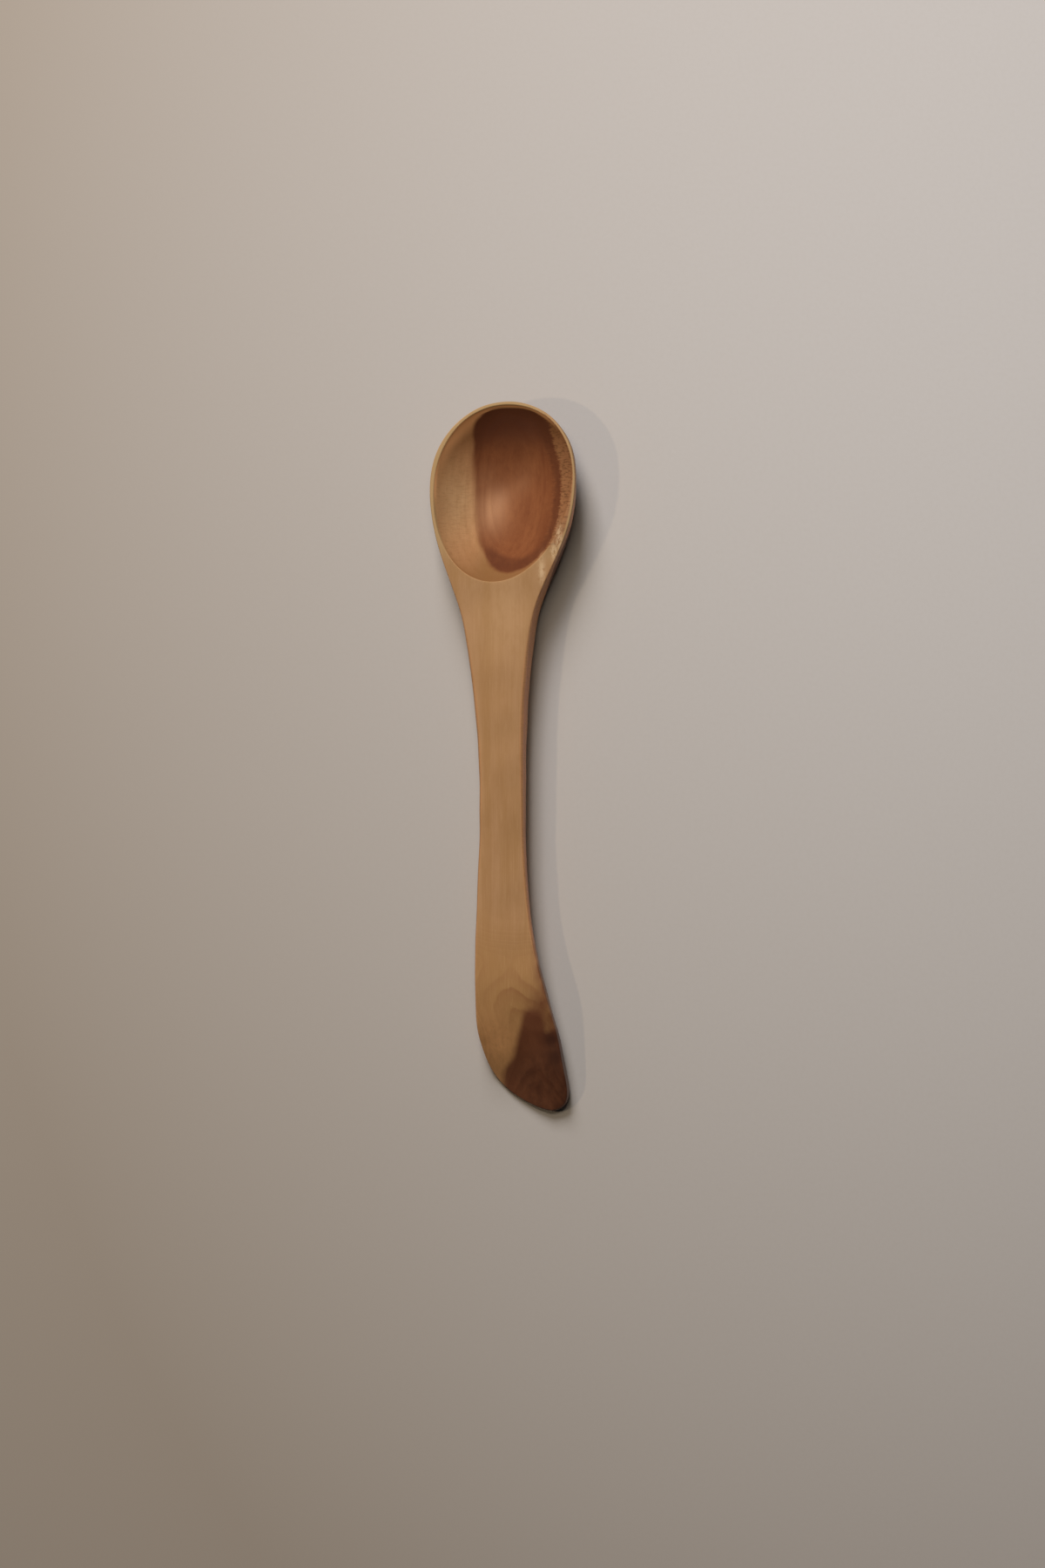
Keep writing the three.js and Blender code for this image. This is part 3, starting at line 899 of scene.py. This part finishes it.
SAPWOOD = linear(162, 122, 85)
SAPWOOD_WARM = linear(148, 108, 66)
SAPWOOD_GRAIN = linear(140, 98, 62)
SAPWOOD_WALL = linear(179, 129, 88)
SAPWOOD_PALE = linear(184, 144, 103)
# Painted light on spots in the end of the handle; in the bowl the pale sapwood colour serves for it.
SAPWOOD_PAINTED_GLOW = linear(220, 161, 108)
# Painted light on the hollow's upper left wall and lip.
SAPWOOD_PAINTED_LIGHT = linear(226, 166, 114)
# Painted light on the handle's right flank.
SAPWOOD_PAINTED_FLANK_LIGHT = linear(216, 146, 98)
SAPWOOD_RIM = linear(160, 132, 92)
SAPWOOD_FLECK = linear(96, 62, 38)
# Painted highlight streaks on the right rim near the neck.
SAPWOOD_PAINTED_GLINT = linear(206, 174, 136)
# Darker tone of the hollow's right wall: partly the wood's own colour, partly painted shade.
RIGHT_WALL = linear(146, 99, 65)
RING_LINE = linear(118, 70, 42)
END_GRAIN = linear(116, 75, 40)
HEARTWOOD = linear(122, 71, 42)
HEARTWOOD_RED = linear(102, 54, 32)
HEARTWOOD_LIGHT = linear(138, 86, 53)
# A painted highlight in the heartwood of the hollow.
HEARTWOOD_PAINTED_HIGHLIGHT = linear(164, 116, 82)
# Painted shade on the heartwood towards the bowl's tip.
HEARTWOOD_PAINTED_SHADE = linear(94, 54, 40)
HEART_BORDER = linear(90, 49, 31)
HEARTWOOD_DARK = linear(116, 70, 46)
HEARTWOOD_DARKEST = linear(70, 38, 26)
STAINED_WOOD = linear(98, 56, 35)
BRANCH_WOOD = linear(50, 23, 18)

# Sizes of the patterns in the wood, in millimetres: across the spoon, along it, and in height.
STREAK_SIZE = (3.0, 70, 3.0)
CLOUD_SIZE = (5, 18, 5)
MOTTLE_SIZE = (1.6, 3.2, 1.6)
FIBRE_SIZE = (0.3, 9, 0.3)
GRAIN_SIZE = (0.55, 32, 0.55)
RAY_SIZE = (2.4, 0.36, 1.6)
EDGE_SIZE = (3.5, 9, 3.5)
HAIR_SIZE = (2.2, 0.32, 2.2)
PAINTED_GLINT_SIZE = (0.7, 1.6, 0.7)

# Growth rings: their spacing, how far they waver, and how uneven they are.
RING_SPACING = 2.4
RING_SPACING_AT_END = 1.15
RING_WAVER = 2.4
RING_WAVER_SIZE = (9, 45, 9)
RING_UNEVENNESS = 1.6
RING_UNEVENNESS_SCALE = 0.7
RING_STRENGTH_SCALE = 3.7

# The heartwood's edge, in millimetres: how far it wanders, how long the hairs are that cross it on
# the right, how soft it is, how much sharper where its border is dark, and how far in that reaches.
EDGE_WANDER = 1.0
HAIR_LENGTH = 1.2
HAIR_LENGTH_AT_END = 0.6
HAIR_LENGTH_ON_WALL = 3.8
HAIRS_ACROSS = (4, 9)
EDGE_SOFTNESS = 1.6
EDGE_SHARPENING = -0.9
BORDER_START = 0.6
BORDER_START_WIDER = 2.0
BORDER_END = 3.6
BORDER_END_AT_NORTH = 5.2
BORDER_END_WIDER = 1.2

# The heartwood is lighter towards its core. In the end of the handle it is darker to the right and
# towards the very end.
CORE_DEPTH = (4.0, 9.0)
DARK_ACROSS = (-1.0, 8.0)
DARK_ALONG = (-149.0, -140.0)

# The oiled surface gives back a warm gleam, as light that has gone a little way into the wood.
GLEAM = (1.0, 0.68, 0.5, 1.0)
SPECULAR_LEVEL = 0.8
ROUGHNESS = 0.40
FIBRE_ROUGHNESS = 0.10
END_GRAIN_ROUGHNESS = 0.15
GRAIN_HEIGHT = 0.02 * MM
RING_GROOVE = -0.4
PAINTED_GLINT_RELIEF = 2.0


class WoodShader(Shader):
    """The spoon's material, from the fields stored on its mesh and from patterns in the wood."""

    def __init__(self):
        super().__init__("carved_fruitwood")
        self.place = self.vector_attribute("wood_place")
        self.across, self.along, _ = self.separate(self.place)
        self.heart_depth, self.border, self.at_end = self.attribute("heart")
        self.side_cut, self.end_cut, self.right_wall = self.attribute("cut")
        # The rim, pale streaks painted as a highlight, and heartwood painted darker towards the tip as
        # shade.
        self.rim, self.torn_spot, self.north = self.attribute("rim_painted_glint_and_shade")
        # The lighter spots are painted light; the stain and the branch are the wood's own.
        self.pale, self.stain, self.branch = self.attribute("tint")
        # Painted light: the lit upper left wall and lip, a painted highlight in the heartwood, and the
        # lighter right flank of the handle.
        self.front_left, self.pale_heart, self.painted_flank_light = self.attribute("gleam")
        self.arcs, self.wide_border, _ = self.attribute("end")
        self.late = self.growth_rings()
        self.streaks = self.stretched(self.place, STREAK_SIZE, detail=3)
        self.clouds = self.stretched(self.place, CLOUD_SIZE, detail=3)
        self.mottle = self.stretched(self.place, MOTTLE_SIZE, detail=3, roughness=0.6)
        self.fibres = self.stretched(self.place, FIBRE_SIZE, detail=3, roughness=0.6)
        self.grain = self.stretched(self.place, GRAIN_SIZE, detail=3, roughness=0.6)
        self.rays = self.stretched(self.place, RAY_SIZE, detail=2, roughness=0.6)
        self.edge_noise = self.stretched(self.place, EDGE_SIZE, detail=4, roughness=0.6)
        self.depth = self.wandering_depth()

    def growth_rings(self):
        """How dark the late wood is at each place, from 0 to 1."""
        from_pith = self.vector_attribute("from_pith")
        waver = self.stretched(from_pith, RING_WAVER_SIZE, detail=3, output="Color")
        waver = self.vector("SUBTRACT", waver, (0.5, 0.5, 0.5))
        wavering = self.vector("MULTIPLY_ADD", waver, (RING_WAVER, 0, RING_WAVER), from_pith)
        x, _, z = self.separate(wavering)
        spacing = self.ramp(self.at_end, 0, 1, low_value=RING_SPACING, high_value=RING_SPACING_AT_END)
        from_middle = self.vector("LENGTH", self.combine(x, 0, z), output="Value")
        ring = self.math("DIVIDE", from_middle, spacing)
        uneven = self.noise(self.combine(ring, 0, 0), RING_UNEVENNESS_SCALE, detail=1)
        ring = self.math("ADD", ring, self.product(uneven, RING_UNEVENNESS))
        in_ring = self.math("FRACT", ring)
        ending = self.ramp(in_ring, 0.82, 1.0, low_value=1.0, high_value=0.0)
        late = self.product(self.ramp(in_ring, 0.15, 0.8), ending)
        number = self.combine(self.math("FLOOR", ring), 0, 0)
        strength = self.noise(number, RING_STRENGTH_SCALE, detail=0)
        return self.product(late, self.ramp(strength, 0.3, 0.7, low_value=0.35))

    def wandering_depth(self):
        """The depth in the heartwood, whose edge wanders and has short hairs on the right."""
        hairs = self.stretched(self.place, HAIR_SIZE, detail=3, roughness=0.7)
        wander = self.math("MULTIPLY_ADD", self.edge_noise, EDGE_WANDER, -EDGE_WANDER / 2)
        depth = self.math("ADD", self.heart_depth, wander)
        length = self.ramp(self.at_end, 0, 1, low_value=HAIR_LENGTH, high_value=HAIR_LENGTH_AT_END)
        length = self.math("MULTIPLY_ADD", self.right_wall, HAIR_LENGTH_ON_WALL, length)
        hairy = self.product(self.ramp(self.across, *HAIRS_ACROSS), length)
        return self.math("ADD", depth, self.product(self.math("SUBTRACT", hairs, 0.5), hairy))

    def heart_share(self):
        softness = self.math("MULTIPLY_ADD", self.border, EDGE_SHARPENING, EDGE_SOFTNESS)
        return self.ramp(self.depth, self.product(softness, -1.0), softness)

    def border_band(self, heart):
        """How strongly the dark border of the heartwood shows."""
        start = self.math("MULTIPLY_ADD", self.wide_border, BORDER_START_WIDER, BORDER_START)
        end = self.ramp(self.north, 0, 1, low_value=BORDER_END, high_value=BORDER_END_AT_NORTH)
        end = self.math("ADD", end, self.product(self.wide_border, BORDER_END_WIDER))
        band = self.ramp(self.depth, start, end, low_value=1.0, high_value=0.0)
        return self.product(self.product(band, self.border), heart)

    def sapwood(self):
        """Long warm streaks, fine fibres, faint rings, and short rays on the side walls."""
        wood = self.tinted(SAPWOOD, SAPWOOD_WARM, self.streaks, 0.35, 0.7, share=0.7)
        wood = self.mix(self.at_end, wood, SAPWOOD_WARM)
        wood = self.tinted(wood, SAPWOOD_WARM, self.clouds, 0.45, 0.8, share=0.35)
        # Surfaces facing sideways are painted lighter and warmer, a painted light, and the steepest of them
        # darker, a painted shade.
        wood = self.tinted(wood, SAPWOOD_WALL, self.side_cut, 0.15, 0.45)
        wood = self.tinted(wood, SAPWOOD_WARM, self.side_cut, 0.5, 0.8, share=0.5)
        # The handle's right flank is painted lighter and warmer: painted light.
        wood = self.mix(self.painted_flank_light, wood, SAPWOOD_PAINTED_FLANK_LIGHT)
        # Spots of the sapwood are painted lighter: painted light.
        painted_light_colour = self.mix(self.at_end, SAPWOOD_PALE, SAPWOOD_PAINTED_GLOW)
        painted_light_share = self.product(self.pale, self.ramp(self.clouds, 0.2, 0.8, low_value=1.0, high_value=0.7))
        wood = self.mix(painted_light_share, wood, painted_light_colour)
        wood = self.tinted(wood, SAPWOOD_PALE, self.fibres, 0.45, 0.75, share=0.2)
        wood = self.tinted(wood, SAPWOOD_GRAIN, self.grain, 0.45, 0.7, share=0.14)
        # The hollow's right wall is darker: partly the wood's own colour, partly painted shade.
        wood = self.mix(self.right_wall, wood, RIGHT_WALL)
        wood = self.mix(self.product(self.late, self.math("ADD", self.arcs, 0.10)), wood, RING_LINE)
        wood = self.tinted(wood, SAPWOOD_WARM, self.mottle, 0.4, 0.75, share=0.25)
        on_sides = self.ramp(self.side_cut, 0.3, 0.7, high_value=0.16)
        flecked = self.math("MULTIPLY_ADD", self.right_wall, 0.6, on_sides)
        wood = self.mix(self.product(self.ramp(self.rays, 0.46, 0.66), flecked), wood, SAPWOOD_FLECK)

        # Cut across the grain, the wood drinks more oil and turns darker.
        in_bowl = self.ramp(self.at_end, 0, 1, low_value=0.8, high_value=0.0)
        wood = self.tinted(wood, END_GRAIN, self.end_cut, 0.2, 0.7, share=in_bowl)
        # The upper left wall and lip of the hollow are painted lighter: painted light.
        wood = self.mix(self.front_left, wood, SAPWOOD_PAINTED_LIGHT)
        stained = self.product(self.stain, self.ramp(self.mottle, 0.3, 0.7, low_value=1.0, high_value=0.75))
        return self.mix(stained, wood, STAINED_WOOD)

    def heartwood(self, band):
        """Orange-brown wood, redder in clouds, with soft rings and a lighter core."""
        wood = self.tinted(HEARTWOOD, HEARTWOOD_RED, self.clouds, 0.35, 0.7, share=0.6)
        wood = self.tinted(wood, HEARTWOOD_LIGHT, self.depth, *CORE_DEPTH, share=0.3)
        wood = self.tinted(wood, HEARTWOOD_RED, self.mottle, 0.4, 0.7, share=0.35)
        wood = self.tinted(wood, HEARTWOOD_LIGHT, self.fibres, 0.45, 0.75, share=0.25)
        wood = self.tinted(wood, HEARTWOOD_RED, self.grain, 0.5, 0.7, share=0.2)
        # Towards the bowl's tip the heartwood is painted darker: painted shade.
        wood = self.mix(self.product(self.north, 0.85), wood, HEARTWOOD_PAINTED_SHADE)
        wood = self.mix(self.at_end, wood, self.dark_heartwood())
        # A pale oval of painted highlight in the heartwood of the hollow.
        wood = self.mix(self.pale_heart, wood, HEARTWOOD_PAINTED_HIGHLIGHT)
        ringed = self.product(self.late, self.ramp(self.clouds, 0.3, 0.7, low_value=0.15, high_value=0.45))
        wood = self.mix(ringed, wood, HEARTWOOD_RED)
        bordered = self.product(band, self.ramp(self.mottle, 0.3, 0.7, low_value=0.7, high_value=0.95))
        wood = self.mix(bordered, wood, HEART_BORDER)
        branch = self.product(self.branch, self.ramp(self.edge_noise, 0.2, 0.6, low_value=0.8))
        return self.mix(branch, wood, BRANCH_WOOD)

    def dark_heartwood(self):
        """The heartwood in the end of the handle, where the knife cut across it."""
        mottled = self.ramp(self.mottle, 0.3, 0.7, low_value=0.6)
        darkness = self.product(mottled, self.ramp(self.across, *DARK_ACROSS, low_value=0.4, high_value=0.8))
        darkness = self.product(darkness, self.ramp(self.along, *DARK_ALONG, low_value=1.0, high_value=0.4))
        darkness = self.math("ADD", darkness, self.product(self.late, 0.35), clamp=True)
        return self.mix(darkness, HEARTWOOD_DARK, HEARTWOOD_DARKEST)

    def finish(self):
        """Puts the colour, the gloss and the fine relief on the surface."""
        heart = self.heart_share()
        colour = self.mix(heart, self.sapwood(), self.heartwood(self.border_band(heart)))
        # Pale streaks painted as a highlight where the right rim's edge catches light, raised a little in
        # the relief.
        torn = self.stretched(self.place, PAINTED_GLINT_SIZE, detail=3, roughness=0.7)
        torn = self.product(self.torn_spot, self.ramp(torn, 0.35, 0.55))
        rim = self.product(self.rim, self.ramp(heart, 0, 1, low_value=0.7, high_value=0.45))
        colour = self.mix(rim, colour, SAPWOOD_RIM)
        colour = self.mix(self.product(torn, 0.8), colour, SAPWOOD_PAINTED_GLINT)
        self.put(self.surface.inputs["Base Color"], colour)
        roughness = self.math("MULTIPLY_ADD", self.fibres, FIBRE_ROUGHNESS, ROUGHNESS)
        roughness = self.math("MULTIPLY_ADD", self.end_cut, END_GRAIN_ROUGHNESS, roughness)
        self.put(self.surface.inputs["Roughness"], roughness)
        self.surface.inputs["Specular IOR Level"].default_value = SPECULAR_LEVEL
        self.surface.inputs["Specular Tint"].default_value = GLEAM
        height = self.math("ADD", self.fibres, self.product(self.late, RING_GROOVE))
        height = self.math("ADD", height, self.product(torn, PAINTED_GLINT_RELIEF))
        self.put(self.surface.inputs["Normal"], self.bump(height, GRAIN_HEIGHT))


def make_spoon():
    mesh = spoon_mesh()
    points, normals, placed = carve(mesh)
    mesh.vertices.foreach_set("co", placed.ravel())
    add_wood_frame(mesh, points, normals)
    mesh.polygons.foreach_set("use_smooth", [True] * len(mesh.polygons))
    wood = WoodShader()
    wood.finish()
    mesh.materials.append(wood.material)
    mesh.update()
    spoon = bpy.data.objects.new("spoon_carved", mesh)
    bpy.context.scene.collection.objects.link(spoon)
    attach(spoon, "root")
    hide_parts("spoon")


# The paper under the spoon is painted palest at the right, beside the bowl, and warmer and darker to the
# left and the bottom: painted light and painted shade for the fall of light across it. Its share of the pale
# colour is a curve across it and another up it, given for one metre: the slope in the middle and the bend.
FLOOR_SIZE = 8.0
PAPER_PALE = linear(188, 181, 177)
PAPER_DARK = linear(157, 144, 132)
PALENESS = 0.65
PALENESS_TO_RIGHT = (3.3, -7.6)
PALENESS_UPWARD = (0.8, -5.8)
PAPER_ROUGHNESS = 0.9
PAPER_SPECULAR_LEVEL = 0.2
PAPER_MOTTLE_SCALE = 900
PAPER_MOTTLE = 0.05


def make_floor():
    mesh = bpy.data.meshes.new("paper")
    half = FLOOR_SIZE / 2
    corners = [(-half, -half, 0), (half, -half, 0), (half, half, 0), (-half, half, 0)]
    mesh.from_pydata(corners, [], [(0, 1, 2, 3)])
    s = Shader("pale_paper")
    s.surface.inputs["Roughness"].default_value = PAPER_ROUGHNESS
    s.surface.inputs["Specular IOR Level"].default_value = PAPER_SPECULAR_LEVEL
    place_on_floor = s.tree.nodes.new("ShaderNodeNewGeometry").outputs["Position"]
    pale = PALENESS
    x, y, _ = s.separate(place_on_floor)
    for distance, (slope, bend) in ((x, PALENESS_TO_RIGHT), (y, PALENESS_UPWARD)):
        pale = s.math("MULTIPLY_ADD", distance, s.math("MULTIPLY_ADD", distance, bend, slope), pale)
    mottle = s.noise(place_on_floor, PAPER_MOTTLE_SCALE, detail=2)
    paper = s.mix(pale, PAPER_DARK, PAPER_PALE)
    paper = s.tinted(paper, PAPER_DARK, mottle, 0.3, 0.8, share=PAPER_MOTTLE)
    s.put(s.surface.inputs["Base Color"], paper)
    mesh.materials.append(s.material)
    floor = bpy.data.objects.new("paper", mesh)
    bpy.context.scene.collection.objects.link(floor)


# Lights: name, place, width and length in metres, strength, colour, and whether it shows in gloss.
LIGHTS = [
    ("window", (-0.09, 0.82, 0.66), (0.35, 0.56), 0.69, (0.96, 1.0, 1.05), False),
    ("ceiling", (0.08, 0.24, 0.75), (0.30, 0.14), 0.21, (1.1, 1.0, 0.82), True),
    ("lamp", (-0.46, 0.02, 0.75), (0.03, 0.03), 0.095, (1.2, 1.0, 0.68), True),
]
WORLD_COLOUR = (1.0, 1.0, 1.0, 1.0)
WORLD_STRENGTH = 0.02


def area_light(name, place, size, strength, colour, in_gloss):
    """A light at a place, facing the spoon. Its strength is its share of plain light on the floor."""
    place = Vector(place)
    light = bpy.data.lights.new(name, "AREA")
    light.shape = "RECTANGLE"
    light.size, light.size_y = size
    light.color = colour
    # A light of this power gives the floor under the spoon the brightness of its own colour.
    light.energy = strength * math.pi * math.pi * place.length**3 / place.z
    holder = bpy.data.objects.new(name, light)
    holder.location = place
    holder.rotation_euler = place.to_track_quat("Z", "Y").to_euler()
    holder.visible_camera = False
    holder.visible_glossy = in_gloss
    bpy.context.scene.collection.objects.link(holder)


def make_lights():
    for light in LIGHTS:
        area_light(*light)
    world = bpy.data.worlds.new("studio")
    world.use_nodes = True
    background = world.node_tree.nodes["Background"]
    background.inputs["Color"].default_value = WORLD_COLOUR
    background.inputs["Strength"].default_value = WORLD_STRENGTH
    bpy.context.scene.world = world


# The camera looks down, leaning to the right, with the spoon a little above the middle.
VIEW_LEAN = 12
LENS = 400
SENSOR = 36
CLIP_START = 0.01
FRAME_HEIGHT = 396 * MM
AIM = (4.07 * MM, -6.95 * MM, 8 * MM)


def make_camera():
    camera = bpy.data.cameras.new("camera")
    camera.lens = LENS
    camera.sensor_width = SENSOR
    camera.clip_start = CLIP_START
    lean = math.radians(VIEW_LEAN)
    distance = FRAME_HEIGHT * LENS / SENSOR
    holder = bpy.data.objects.new("camera", camera)
    holder.location = Vector(AIM) + Vector((math.sin(lean), 0, math.cos(lean))) * distance
    holder.rotation_euler = (0, lean, 0)
    bpy.context.scene.collection.objects.link(holder)
    bpy.context.scene.camera = holder


make_spoon()
make_floor()
make_lights()
make_camera()
bpy.context.scene.view_settings.view_transform = "Standard"
